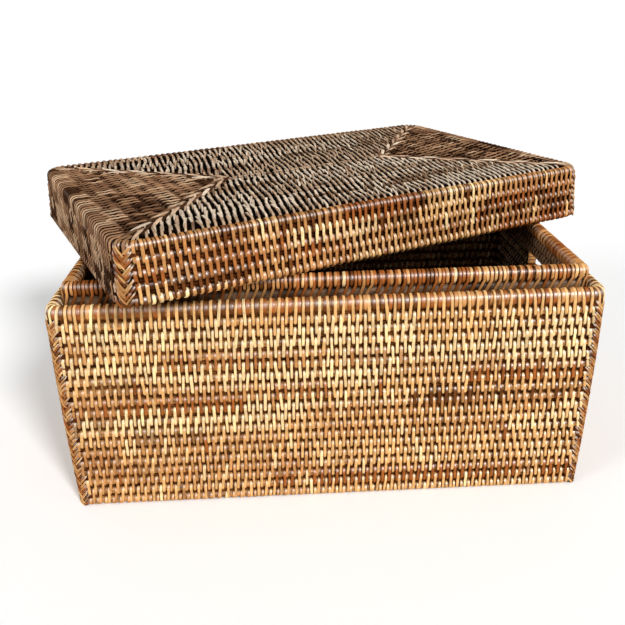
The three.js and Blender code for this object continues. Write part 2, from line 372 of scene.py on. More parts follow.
class PieceMesh:
    """Tubes with a tint at each corner, gathered into one mesh in a body's own frame."""

    def __init__(self, seed):
        self.rng = np.random.default_rng(seed)
        self.batches = []

    def tubes(self, grid, tint, across, along, looped=False):
        """grid is tubes x stations x sides x 3; across and along are the fibre map's distances."""
        tint = np.broadcast_to(tint, grid.shape[:3] + (4,))
        self.batches.append((grid, tint, across, along, looped))

    def runs(self, count, shares, shortest=10, longest=36):
        """A tint for each stitch of a row: one length of strip makes some dozens of stitches."""
        colours, odds = (np.array(column) for column in zip(*shares))
        odds = odds / odds.sum()
        chosen = np.zeros((count, 4))
        done = 0
        while done < count:
            length = self.rng.integers(shortest, longest)
            chosen[done:done + length] = colours[self.rng.choice(len(odds), p=odds)]
            done += length
        odd_ones = self.rng.random(count) < ODD_STITCHES
        chosen[odd_ones] = colours[self.rng.choice(len(odds), size=odd_ones.sum(), p=odds)]
        return shaded(chosen, self.rng.normal(1.0, STITCH_LIGHT, count).clip(*STITCH_RANGE))

    def strips(self, centre, hint, tint, shade_along, width=STRIP_WIDTH, thickness=STRIP_THICKNESS, section=CROWNED,
               edge_shade_level=1.0):
        """Strips along centre lines on the rods; hint points off the rods, and the edge shade level is the
        light left at their edges, a painted shade.
        """
        count, points = centre.shape[:2]
        if count == 0:
            return
        ahead = unit(np.gradient(centre, axis=1))
        across = unit(np.cross(hint, ahead))
        outward = np.cross(ahead, across)
        wide = width * self.rng.uniform(*STRIP_WIDTHS, (count, 1, 1, 1)) / 2
        ends = np.ones(points)
        ends[[0, -1]], ends[[1, -2]] = STRIP_TAPER
        sides = section[:, :1] * wide * ends[:, None, None]
        thick = thickness * self.rng.uniform(*STRIP_THICKNESSES, (count, 1, 1, 1))
        rise = section[:, 1:] * thick
        grid = centre[:, :, None] + across[:, :, None] * sides + outward[:, :, None] * rise
        # Painted highlight: faces tilted towards the key lamp's highlight are painted pale, and their gloss
        # is raised
        facing_highlight = highlight_share(np.arcsin(outward[..., 2].clip(-1, 1)))[..., None]
        # Painted shade: darker towards the strips' edges
        edge = 1 - (1 - edge_shade_level) * section[:, 0] ** 2
        colour = shaded(tint[:, None, None], shade_along[:, None] * edge)
        painted_highlight = (HIGHLIGHT_PAINT * facing_highlight * colour[..., 3])[..., None]
        colour[..., :3] += painted_highlight * (HIGHLIGHT_PALE[:3] - colour[..., :3])
        colour[..., 3] *= DULL_GLOSS + (1 - DULL_GLOSS) * facing_highlight
        steps = np.linalg.norm(np.diff(centre, axis=1), axis=-1)
        along = np.concatenate([np.zeros((count, 1)), np.cumsum(steps, axis=1)], axis=1)
        along = along + self.rng.uniform(0, STRIP_FIBRES, (count, 1))
        around = np.linspace(-width / 2, width / 2, len(section) + 1)
        self.tubes(grid, colour, around, along)

    def build(self, name, place):
        """The Blender object, with its tint and its two maps, placed by a 4 x 4 matrix."""
        tube_count = sum(len(grid) for grid, *_, looped in self.batches if not looped)
        columns = math.ceil(math.sqrt(max(tube_count, 1)))
        rows = max(1, math.ceil(tube_count / columns))
        cells = 1 - BAKE_BAND
        corners, colours, faces, sizes, fibre, bake = [], [], [], [], [], []
        base = cell = bands = 0
        for grid, tint, across, along, looped in self.batches:
            count, points, sides = grid.shape[:3]
            spans = points if looped else points - 1
            span, side = np.meshgrid(np.arange(spans), np.arange(sides), indexing="ij")
            at_point = np.stack([span, span + 1, span + 1, span], -1).reshape(-1, 4)
            at_side = np.stack([side, side, side + 1, side + 1], -1).reshape(-1, 4)
            face_sets = [(at_point, at_side)]
            if looped:
                corner = np.array([[0.0, BAKE_BAND * bands]])
                room = np.array([1.0, BAKE_BAND * BAND_FILL])
                bands += 1
            else:
                index = cell + np.arange(count)
                level = BAKE_BAND + index // columns / rows * cells
                corner = np.stack([index % columns / columns, level], -1)
                room = np.array([CELL_FILL / columns, CELL_FILL * cells / rows])
                cell += count
                order = np.arange(sides)[None]
                face_sets += [(0 * order, order), (0 * order + points - 1, order[:, ::-1])]
            first = base + np.arange(count)[:, None, None] * points * sides
            for at_point, at_side in face_sets:
                faces.append((first + at_point % points * sides + at_side % sides).reshape(-1))
                sizes.append(np.full(count * len(at_point), at_point.shape[1]))
                on_fibre = [np.broadcast_to(across[at_side], (count,) + at_side.shape), along[:, at_point]]
                fibre.append(np.stack(on_fibre, -1).reshape(-1, 2))
                share = np.stack([at_side / sides, at_point / spans], -1)
                if looped:
                    share = share[..., ::-1]
                bake.append((corner[:, None, None] + share * room).reshape(-1, 2))
            corners.append(grid.reshape(-1, 3))
            colours.append(tint.reshape(-1, 4))
            base += count * points * sides
        corners, faces, sizes = (np.concatenate(parts) for parts in (corners, faces, sizes))
        corners[:, 2] = np.maximum(corners[:, 2], GROUND)
        placed = (corners @ place[:3, :3].T + place[:3, 3]) * MM

        mesh = bpy.data.meshes.new(name)
        mesh.vertices.add(len(placed))
        mesh.vertices.foreach_set("co", placed.astype(np.float32).ravel())
        mesh.loops.add(len(faces))
        mesh.loops.foreach_set("vertex_index", faces.astype(np.int32))
        mesh.polygons.add(len(sizes))
        mesh.polygons.foreach_set("loop_start", (np.cumsum(sizes) - sizes).astype(np.int32))
        mesh.polygons.foreach_set("use_smooth", np.ones(len(sizes), bool))
        for map_name, values in (("OFBake", np.concatenate(bake)), ("fibre", np.concatenate(fibre))):
            layer = mesh.uv_layers.new(name=map_name)
            layer.data.foreach_set("uv", values.astype(np.float32).ravel())
        tint = mesh.attributes.new("tint", "FLOAT_COLOR", "POINT")
        rgba = np.clip(np.concatenate(colours), 0, 1)
        tint.data.foreach_set("color", rgba.astype(np.float32).ravel())
        mesh.update(calc_edges=True)
        mesh.validate()
        return in_scene(name, mesh)


def blotched(count, colours, rng):
    """Tints along a rod, which change slowly between a lighter and a darker one."""
    wander = np.convolve(rng.normal(0, 1, count + BLOTCH - 1), np.hanning(BLOTCH) / 2, "valid")
    share = (0.35 + 0.4 * wander).clip(0, 1)[:, None]
    return colours[0] * (1 - share) + colours[1] * share


def arc(core, first, last, count, height=0.0):
    """Points round a rod's section from one angle to another; 0 is outward and 90 is up."""
    out, top, bottom = core
    angle = np.radians(np.linspace(first, last, count))
    rise = np.sin(angle)
    return np.stack([out * np.cos(angle), np.where(rise > 0, top, bottom) * rise + height], -1)


def tail(core, pitch, shift, reach=-30):
    """The lower part of a stitch: down over the next rod, as far as an angle on it, and into it."""
    out, _, bottom = core
    bridge = BRIDGE * (1, pitch) + (out, 0.0)
    over = arc(core, reach + 38, reach, 3, -pitch)
    plunge = arc((0.4 * out, bottom, bottom), reach - 32, reach - 32, 1, -pitch)
    points = np.concatenate([bridge, over, plunge])
    points[:, 0] += shift * np.clip(-points[:, 1] / pitch, 0, 1)
    return points


def crevice_shading(points):
    """Painted shade: strips darken where they go in between the rods."""
    shade_along = np.ones(points)
    shade_along[:2], shade_along[-2:] = FIRST_CREVICE_SHADE, LAST_CREVICE_SHADE
    return shade_along


def section_line(path, middle, outward, rise, ahead, lean, pivot=None):
    """Centre lines and hints of strips from a path (out, up) in a rod's section, leaning below any pivot."""
    slope = np.gradient(path, axis=0)
    outward, rise, ahead = outward[..., None, :], rise[..., None, :], ahead[..., None, :]
    out, up = path[:, :1], path[:, 1:]
    leaning = up if pivot is None else np.minimum(up - pivot, 0)
    centre = middle[:, None] + outward * out + rise * up + ahead * (lean[:, None, None] * leaning)
    return centre, unit(rise * slope[:, :1] - outward * slope[:, 1:])


class CourseMesh(PieceMesh):
    """A course of rods bent along a plan, with its lashing; height and radius are the CAD rod's."""

    def __init__(self, seed, plan, height, radius):
        super().__init__(seed)
        self.plan, self.height, self.radius = plan, height, radius

    def rod(self, core, colours, window=None, over=0.0, end_shade_level=1.0):
        """A rod's own surface, whole or over a window along its outer line, with painted shade: darker where
        it turns into the crevices, and dimmed by a level at its ends.
        """
        plan, rng = self.plan, self.rng
        looped = window is None
        marks = plan.stations(0.0, plan.total)[:-1] if looped else plan.stations(*window)
        point, _, outward = plan.at(marks)
        out, top, bottom = core
        out = out - SLACK
        middle = point - self.radius * outward + UP * (self.height + over)
        up = np.where(np.sin(ROD_ANGLES) > 0, top, bottom) * np.sin(ROD_ANGLES)
        sideways = out * np.cos(ROD_ANGLES)[:, None] * outward[:, None]
        grid = middle[:, None] + sideways + up[:, None] * UP
        # Painted shade: the rod darkens where it turns into the crevices
        open_share = np.clip(1.35 * np.abs(np.cos(ROD_ANGLES)), 0, 1) ** 1.5
        shade = CREVICE_LIGHT + (1 - CREVICE_LIGHT) * open_share
        flecks = rng.normal(1.0, FLECKS, (len(marks), ROD_SIDES)).clip(*FLECK_RANGE)
        # Painted shade: the rod is dimmed where it faces left or right
        end_shade = np.where(np.abs(outward[:, :1]) > BEND_SPLIT, end_shade_level, 1.0)
        tint = shaded(blotched(len(marks), colours, rng)[:, None], shade * flecks * end_shade)
        tint[..., 3] *= highlight_share(ROD_ANGLES)
        around = np.arange(ROD_SIDES + 1) * 2 * math.pi * out / ROD_SIDES + rng.uniform(0, ROD_FIBRES)
        distances = np.append(marks, plan.total) if looped else marks
        self.tubes(grid[None], tint[None], around, distances[None], looped)

    def lash(self, distances, path, tint, lean=0.0, inward=False, pivot=None, shade_along=None, **strip):
        """A row of strips along the rod, each following the path round the rod's section."""
        point, ahead, outward = self.plan.at(distances)
        middle = point - self.radius * outward + UP * self.height
        if inward:
            outward, ahead = -outward, -ahead
        leans = np.tan(np.radians(lean + self.rng.normal(0, LEAN_JITTER, len(distances))))
        centre, hint = section_line(path, middle, outward, UP, ahead, leans, pivot)
        self.strips(centre, hint, tint, crevice_shading(len(path)) if shade_along is None else shade_along, **strip)

    def line_inside(self, distances, core, shares=INNER_STRIPS):
        """The inner side of a row's lashing."""
        path = np.concatenate([arc(core, 75, 0, 4), arc(core, -25, -75, 3)])
        tint = self.runs(len(distances), shares)
        self.lash(distances, path, tint, INNER_LEAN, True, section=PLAIN)

    def shade_corners(self, bends=BENDS):
        """Painted shade: a dark filling over the rod's bends, behind the braids."""
        for middle in self.plan.bend_middles()[list(bends)]:
            self.rod(CORNER_FILL, CREVICE_SHADE, (middle - BRAID_HALF, middle + BRAID_HALF), self.radius)

    def braid(self, bends=BENDS, low=BRAID_LOW, starts=BRAID_STARTS, level=BRAID_LEVEL):
        """Pairs of strips that cross in a V over the bends of a course, once for each start."""
        points = len(BRAID_LIFT)
        share = np.linspace(0, 1, points)
        middles = self.plan.bend_middles()[list(bends)]
        for start in starts:
            up = np.maximum(start - BRAID_DROP * share, low)
            for side, above in ((1, 0.0), (-1, BRAID_OVER)):
                for beside in (0.0, BRAID_PAIR):
                    sideways = side * (BRAID_REACH - beside - BRAID_SWING * share)
                    shifts = self.rng.normal(0, BRAID_SHIFT, (len(middles), 1))
                    point, _, outward = self.plan.at(middles[:, None] + sideways + shifts)
                    centre = point + outward * (CORE - self.radius + BRAID_LIFT + above)[:, None]
                    centre[..., 2] += self.height + up + self.rng.normal(0, BRAID_RISE, (len(middles), 1))
                    tint = shaded(self.runs(len(middles), BRAIDS, 1, 2), level)
                    self.strips(centre, outward, tint, crevice_shading(points), width=BRAID_STRIP)

    def noted(self, table, course, distances, tint):
        """Gives the runs that stand out on a front their colours."""
        point, _, outward = self.plan.at(distances)
        for run_course, low, high, colour in table:
            if run_course == course:
                within = (outward[:, 1] < -FACING) & (point[:, 0] > low) & (point[:, 0] < high)
                inside = within & (self.rng.random(len(tint)) < RUN_SHARE)
                tint[inside] = tint[inside] * (1 - RUN_STRENGTH) + colour * RUN_STRENGTH
        return tint

    def front_lean(self, distances, most):
        """The front stitches lean a little, outward at their feet."""
        point, _, outward = self.plan.at(distances)
        return np.where(outward[:, 1] < -FACING, -most * point[:, 0] / self.plan.half[0], 0.0)


# Varnish, and noise on the rattan: scale across and along the fibres, and detail
COAT_ROUGHNESS = 0.42
COAT_IOR = 2.4
STREAKS = (2.6, 0.12, 3)
MOTTLE = (0.5, 0.16, 2)
MOTTLE_LEVELS = (0.76, 1.2)
RIDGE_STRENGTH = 0.3
RIDGE_HEIGHT = 0.0003

# Roughness of each material, and how strongly its streaks show
LOOKS = {
    "wall_rattan": (0.34, 0.16),
    "rim_rattan": (0.32, 0.16),
    "inner_rattan": (0.5, 0.2),
    "lid_rattan": (0.34, 0.18),
    "lid_top_rattan": (0.46, 0.22),
}


def feed(tree, node, inputs):
    """Sets a node's inputs to values, or links them to the outputs of other nodes."""
    for socket, value in inputs.items():
        if isinstance(value, bpy.types.NodeSocket):
            tree.links.new(value, node.inputs[socket])
        else:
            node.inputs[socket].default_value = value


def added(tree, kind, inputs, operation=None):
    """The first output of a new node."""
    node = tree.nodes.new(kind)
    if operation:
        node.operation = operation
    feed(tree, node, inputs)
    return node.outputs[0]


def rattan(name, roughness, grain):
    """Varnished rattan: the tint painted on each strip and rod, with its painted shade and highlights,
    streaked along its fibres, with pores and faint ridges.
    """
    material = bpy.data.materials.new(name)
    material.use_nodes = True
    tree = material.node_tree
    tint = tree.nodes.new("ShaderNodeAttribute")
    tint.attribute_name = "tint"
    gloss = tint.outputs["Alpha"]
    fibre = tree.nodes.new("ShaderNodeUVMap")
    fibre.uv_map = "fibre"

    def noise(across, along, detail):
        stretched = {"Vector": fibre.outputs["UV"], "Scale": (across, along, 1)}
        place = added(tree, "ShaderNodeMapping", stretched)
        return added(tree, "ShaderNodeTexNoise", {"Vector": place, "Scale": 1.0, "Detail": detail})

    def remap(value, low, high):
        ends = {"From Min": 0.25, "From Max": 0.75, "To Min": low, "To Max": high}
        return added(tree, "ShaderNodeMapRange", {"Value": value, **ends})

    streaks, mottle = noise(*STREAKS), noise(*MOTTLE)
    levels = {0: remap(streaks, 1 - grain, 1 + grain), 1: remap(mottle, *MOTTLE_LEVELS)}
    level = added(tree, "ShaderNodeMath", levels, "MULTIPLY")
    tinted = {0: tint.outputs["Color"], "Scale": level}
    ridges = {"Height": streaks, "Strength": RIDGE_STRENGTH, "Distance": RIDGE_HEIGHT}
    feed(tree, tree.nodes["Principled BSDF"], {
        "Base Color": added(tree, "ShaderNodeVectorMath", tinted, "SCALE"),
        "Roughness": remap(mottle, roughness - 0.08, roughness + 0.1),
        "Specular IOR Level": remap(gloss, 0.0, 0.25),
        "Coat Weight": gloss,
        "Coat Roughness": COAT_ROUGHNESS,
        "Coat IOR": COAT_IOR,
        "Normal": added(tree, "ShaderNodeBump", ridges),
    })
    return material


MATERIALS = {name: rattan(name, *looks) for name, looks in LOOKS.items()}


def corners_of(node):
    """A CAD node's vertices in millimetres, in the row frame."""
    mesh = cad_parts[node].data
    flat = np.zeros(len(mesh.vertices) * 3, np.float32)
    mesh.vertices.foreach_get("co", flat)
    return flat.reshape(-1, 3).astype(float) / MM


lid_bar = corners_of("lid_top_centre_bar")
lid_middle = (lid_bar.min(0) + lid_bar.max(0)) / 2
PLACES = {"box": np.eye(4), "lid": np.eye(4)}
PLACES["lid"][:2, :2] = [
    [math.cos(LID_TURN), -math.sin(LID_TURN)],
    [math.sin(LID_TURN), math.cos(LID_TURN)],
]
PLACES["lid"][:2, 3] = lid_middle[:2]


def extent(node, body):
    """Half width, half depth, middle height and radius of a rod's course, in its body's own frame."""
    corners = corners_of(node)
    back = np.linalg.inv(PLACES[body])
    local = corners @ back[:3, :3].T + back[:3, 3]
    low, high = local.min(0), local.max(0)
    half_width, half_depth, radius = (high - low) / 2
    return half_width, half_depth, (low[2] + high[2]) / 2, radius


def finish_piece(mesh, node, body, slot):
    piece = mesh.build(f"{node}_lashed", PLACES[body])
    piece.data.materials.append(MATERIALS[slot])
    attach(piece, body)
    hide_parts(node)


def course_plans():
    plans = {}
    for course in range(1, COURSES + 1):
        node = f"wall_course_{course:02d}" + ("_front" if course in HALVED else "")
        half_width, _, height, radius = extent(node, "box")
        half_depth = -corners_of(node)[:, 1].min()
        plans[course] = (Plan(half_width, half_depth, CORNER_RADIUS), height, radius)
    return plans


def build_walls():
    plans = course_plans()
    for course, (plan, height, radius) in plans.items():
        name = f"wall_course_{course:02d}"
        below = plans.get(course - 1)
        core = (CORE, RISE, RISE)
        if below:
            lower = tail(core, height - below[1], below[0].half[0] - plan.half[0])
        else:
            lower = arc(core, -25, -130, 5)
        path = np.concatenate([HEAD + (CORE, 0.0), lower])
        parts = {name: (None, BENDS)}
        if course in HALVED:
            end = plan.lengths[1] + plan.half[1] - plan.radius - HAND_HOLE_HALF
            parts = {
                f"{name}_front": ((-end, plan.lengths[0] + end), (0, 3)),
                f"{name}_back": ((plan.starts[4] - end, plan.starts[5] + end), (1, 2)),
            }
        shares = UPPER_STRIPS if course in HALVED else WALL_STRIPS
        every = plan.row(WALL_COUNTS, course, np.random.default_rng(course))
        for number, (node, (window, bends)) in enumerate(parts.items()):
            mesh = CourseMesh(100 * course + number, plan, height, radius)
            mesh.rod(core, WALL_CORE, window)
            # Painted shade: a dark filling in the crevice over this rod
            mesh.rod(CREVICE, WALL_CREVICE_SHADE, window, radius)
            distances = every
            if window:
                inside = (every - window[0]) % plan.total
                distances = every[(inside > 2) & (inside < window[1] - window[0] - 2)]
            tint = mesh.noted(WALL_RUNS_AND_CORNER_SHADE, course, distances, mesh.runs(len(distances), shares))
            lean = mesh.front_lean(distances, WALL_LEAN) + max(0.0, FOOT_LEAN[0] - FOOT_LEAN[1] * course)
            mesh.lash(distances, path, tint, lean)
            mesh.line_inside(distances, core)
            mesh.shade_corners(bends)
            mesh.braid(bends)
            finish_piece(mesh, node, "box", "wall_rattan")


def course_on(node, seed, bend):
    """An empty mesh on the plan of one of the box's CAD rods, with the radius of its outside bends."""
    half_width, half_depth, height, radius = extent(node, "box")
    return CourseMesh(seed, Plan(half_width, half_depth, bend), height, radius)


def build_border():
    mesh = course_on("border_roll", 31, CORNER_RADIUS)
    out = mesh.radius - STRIP_THICKNESS
    core = (out, out + 1.1, mesh.radius + 0.2)
    mesh.rod(core, WALL_CORE)
    long_at = mesh.plan.row(ROLL_COUNTS, COURSES + 1, mesh.rng)
    short_at = mesh.plan.row(ROLL_COUNTS, COURSES, mesh.rng)
    long_path = np.concatenate([arc(core, 215, 2, 9), BORDER_DROP + (out, 0.0)])
    short_path = arc(core, 215, -75, 12)
    long_tint = mesh.runs(len(long_at), LONG_WRAPS)
    point, _, outward = mesh.plan.at(long_at)
    over_hole = (np.abs(outward[:, 0]) > FACING) & (np.abs(point[:, 1]) < HAND_HOLE_HALF + 1)
    for chosen, wrap in ((~over_hole, long_path), (over_hole, short_path)):
        lean = mesh.front_lean(long_at[chosen], BORDER_LEAN)
        mesh.lash(long_at[chosen], wrap, long_tint[chosen], lean)
    short_tint = mesh.runs(len(short_at), SHORT_WRAPS, 1, 5)
    mesh.lash(short_at, short_path, short_tint, width=BORDER_WRAP, thickness=0.6)
    finish_piece(mesh, "border_roll", "box", "rim_rattan")


def build_lip():
    mesh = course_on("lip_top_roll", 41, LIP_CORNER_RADIUS)
    out = mesh.radius - STRIP_THICKNESS
    core = (out, out, mesh.radius + 0.2)
    mesh.rod(core, LID_CORE)
    wrap_at = mesh.plan.row(LIP_COUNTS, 0, mesh.rng)
    tie_at = mesh.plan.row(LIP_COUNTS, 1, mesh.rng)
    wrap = arc(core, 250, -80, 13)
    tie = np.concatenate([arc(core, 250, 2, 10), LIP_DROP + (out, 0.0)])
    wrap_tint = mesh.runs(len(wrap_at), LIP_WRAPS, 1, 4)
    tie_tint = mesh.runs(len(tie_at), LIP_TIES, 2, 8)
    wrap_tint[:, 3] *= LIP_GLOSS
    tie_tint[:, 3] *= LIP_GLOSS
    mesh.lash(wrap_at, wrap, wrap_tint, width=LIP_WRAP)
    mesh.lash(tie_at, tie, tie_tint, LIP_TIE_LEAN, pivot=LIP_DROP[0, 1], shade_along=LIP_TIE_SHADE, width=LIP_TIE)
    finish_piece(mesh, "lip_top_roll", "box", "rim_rattan")
    for number, node in enumerate(("lip_middle_rod", "lip_lower_rod")):
        mesh = course_on(node, 43 + number, LIP_CORNER_RADIUS)
        core = (CORE, MEET, MEET)
        mesh.rod(core, LIP_CORE)
        mesh.line_inside(mesh.plan.row(LIP_COUNTS, number, mesh.rng), core, LIP_LINING)
        finish_piece(mesh, node, "box", "inner_rattan")


def frame_bars(low, high):
    """Starts and ends of the four bars round a hand hole, with the way out of the hole for each."""
    corners = np.full((4, 3), (low[0] + high[0]) / 2)
    corners[:, 1:] = np.where(CORNERS > 0, high[1:], low[1:])
    ways = np.array([(0, 0, -1), (0, 1, 0), (0, 0, 1), (0, -1, 0)], float)
    return zip(corners, np.roll(corners, -1, axis=0), ways)


def build_handles():
    """Flat bars round each hand hole, closely wrapped."""
    for number, node in enumerate(("handle_frame_left", "handle_frame_right")):
        mesh = PieceMesh(51 + number)
        corners = corners_of(node)
        low, high = corners.min(0), corners.max(0)
        depth = high[0] - low[0]
        for start, end, outward in frame_bars(low, high):
            ahead = unit(end - start)
            through = np.cross(outward, ahead)
            middle = np.stack([start, end]) - outward * FRAME_THICKNESS / 2
            section = FRAME_BAR * (1, depth / 10)
            grid = middle[:, None] + outward * section[:, :1] + through * section[:, 1:]
            length = np.linalg.norm(end - start)
            mesh.tubes(grid[None], INNER_CORE[0], np.linspace(0, 22, 5), np.array([[0.0, length]]))
            wrapped = length - 2 * FRAME_END
            count = max(1, round(wrapped / FRAME_PITCH))
            places = FRAME_END + (np.arange(count) + 0.5) * wrapped / count
            around = FRAME_AROUND * (1, (depth - 2) / 10)
            at = middle[0] + ahead * places[:, None]
            line, hint = section_line(around[::-1], at, outward, through, ahead, np.zeros(count))
            tint = mesh.runs(count, FRAME_WRAPS)
            mesh.strips(line, hint, tint, np.ones(len(around)), width=FRAME_WRAP, thickness=0.5)
        finish_piece(mesh, node, "box", "inner_rattan")


def mat_rod(mesh, size, width, colours):
    """A mitred rectangle of rod laid flat."""
    half_width, half_depth, height, radius = size
    out = (width / 2 + MAT_OVERLAP) * np.cos(ROD_ANGLES)
    up = (radius - STRIP_THICKNESS) * np.sin(ROD_ANGLES)
    reach = np.stack([half_width - width / 2 + out, half_depth - width / 2 + out], -1)
    sides = [2 * half_width, 2 * half_depth] * 2
    marks, points, levels = [], [], []
    travelled = 0.0
    for corner in range(4):
        count = max(2, round(sides[corner] / (4 * ROD_STATION)))
        following = CORNERS[(corner + 1) % 4]
        for share in np.arange(count) / count:
            blend = CORNERS[corner] * (1 - share) + following * share
            points.append(np.concatenate([blend * reach, (height + up)[:, None]], axis=1))
            marks.append(travelled + share * sides[corner])
            # Painted shade on the left and right sides of the rod
            levels.append(MAT_END_SHADE if corner % 2 else 1.0)
        travelled += sides[corner]
    # Painted shade: only the rod's crest keeps its light, the rest darkens into the crevices
    shade = MAT_CREVICE_LIGHT + (1 - MAT_CREVICE_LIGHT) * np.abs(np.sin(ROD_ANGLES)) ** 9
    tint = shaded(blotched(len(marks), colours, mesh.rng)[:, None], np.array(levels)[:, None] * shade)
    around = np.arange(ROD_SIDES + 1) * math.pi * width / ROD_SIDES + mesh.rng.uniform(0, ROD_FIBRES)
    mesh.tubes(np.array(points)[None], tint[None], around, np.array(marks + [travelled])[None], True)


# The way out of a mat's front, right, back and left sides, and how its stitches lean there
MAT_WAYS = np.array([(0, -1, 0), (1, 0, 0), (0, 1, 0), (-1, 0, 0)], float)
MAT_LEANS = (TOP_LEAN, RIGHT_LEAN, TOP_LEAN, LEFT_LEAN)


def mat_face(mesh, size, width, face, row, shares, end_shares):
    """The stitches on one face of a mat's course, each over this rod and the next one in."""
    half_width, half_depth, height, radius = size
    core = (radius - STRIP_THICKNESS, width / 2 + MAT_OVERLAP, width / 2 + MAT_OVERLAP)
    path = np.concatenate([arc(core, 78, 4, 5), tail(core, width + MAT_GAP, 0.0)])
    up = face * UP
    for number, (away, lean) in enumerate(zip(MAT_WAYS, MAT_LEANS)):
        long_side = number % 2 == 0
        half_length = (half_width if long_side else half_depth) - width / 2
        reach = (half_depth if long_side else half_width) - width / 2
        spacing = TOP_PITCH if long_side else END_PITCH
        ahead = np.cross(away, up)
        phase = spacing * 0.5 * (row % 2)
        if long_side:
            phase = TOP_STEP * (MAT_RODS - row) * away[1] * ahead[0]
        first = math.ceil((-half_length + HIP_CLEAR - phase) / spacing)
        last = math.floor((half_length - HIP_CLEAR - phase) / spacing)
        if last < first:
            continue
        along = np.arange(first, last + 1) * spacing + phase
        count = len(along)
        along = along + mesh.rng.normal(0, MAT_JITTER, count)
        if long_side:
            along = along + TOP_WAVE * np.sin(WAVE_TURN * row + along / WAVE_LENGTH)
        middle = away * reach + ahead * along[:, None] + height * UP
        leans = lean * face + mesh.rng.normal(0, MAT_LEAN_JITTER, count)
        line, hint = section_line(path, middle, up, away, ahead, leans)
        tint = mesh.runs(count, shares) if long_side else mesh.runs(count, end_shares, 1, 6)
        section = CROWNED if face > 0 else PLAIN
        wide, edge_shade_level = (TOP_STRIP, TOP_EDGE_SHADE) if long_side else (END_STRIP, 1.0)
        mesh.strips(line, hint, tint, crevice_shading(len(path)), wide, section=section, edge_shade_level=edge_shade_level)


def hip_strips(mesh, size, width, face, shares):
    """Strips along the diagonals, where the mitred rods meet."""
    half_width, half_depth, height, radius = size
    points = len(HIP_LIFT)
    share = np.linspace(0, 1, points)
    inset = 1.0 + share * HIP_LENGTH * width
    reach = np.stack([half_width - inset, half_depth - inset], -1)
    spread = HIP_SPREAD[0] - HIP_SPREAD[1] * share
    for side, side_shares in zip((-1, 1), shares):
        line = np.zeros((4, points, 3))
        line[..., :2] = CORNERS[:, None] * reach
        line[..., 0] += side * CORNERS[:, 1:] * spread
        line[..., 1] -= side * CORNERS[:, :1] * spread
        line[..., 2] = height + face * (HIP_LIFT + radius - STRIP_THICKNESS)
        mesh.strips(line, face * UP, mesh.runs(4, side_shares, 1, 2), crevice_shading(points), HIP_STRIP)


def build_mat(stem, body, slot, upper, lower, colours):
    """A floor or lid top: upper and lower give the strip colours of its faces, long sides and ends."""
    rods = [f"{stem}_course_{row:02d}" for row in range(1, MAT_RODS + 1)]
    sizes = [extent(node, body) for node in rods]
    width = sizes[0][0] - sizes[1][0] - MAT_GAP
    faces = ((1.0, upper), (-1.0, lower))
    for row, (node, size) in enumerate(zip(rods, sizes)):
        mesh = PieceMesh(len(stem) * 1000 + row)
        mat_rod(mesh, size, width, colours)
        for face, (shares, end_shares) in faces:
            mat_face(mesh, size, width, face, row, shares, end_shares)
            hips = HIPS[::1 - 2 * (row % 2)] if face > 0 else (end_shares, end_shares)
            hip_strips(mesh, size, width, face, hips)
        finish_piece(mesh, node, body, slot)
    node = f"{stem}_centre_bar"
    half_width, _, height, radius = extent(node, body)
    mesh = PieceMesh(len(stem) * 1000 + 99)
    out, thick = width / 2 + MAT_OVERLAP, radius - STRIP_THICKNESS
    ring = np.stack([0 * ROD_ANGLES, -out * np.cos(ROD_ANGLES), thick * np.sin(ROD_ANGLES)], -1)
    ends = np.array([(half_width, 0, height), (-half_width, 0, height)])
    grid = ends[None, :, None] + ring
    mesh.tubes(grid, colours[0], np.linspace(0, 30, ROD_SIDES + 1), np.array([[0.0, 2 * half_width]]))
    reach = math.floor((half_width - 4) / TOP_PITCH)
    along = np.arange(-reach, reach + 1) * TOP_PITCH
    middle = np.stack([along, 0 * along, 0 * along + height], -1)
    path = arc((radius - 1.4, out, out), 80, -80, 9)
    for face, (shares, _) in faces:
        up, away = face * UP, MAT_WAYS[0]
        leans = np.full(len(along), TOP_LEAN * face)
        line, hint = section_line(path, middle, up, away, np.cross(away, up), leans)
        mesh.strips(line, hint, mesh.runs(len(along), shares), crevice_shading(len(path)))
    finish_piece(mesh, node, body, slot)


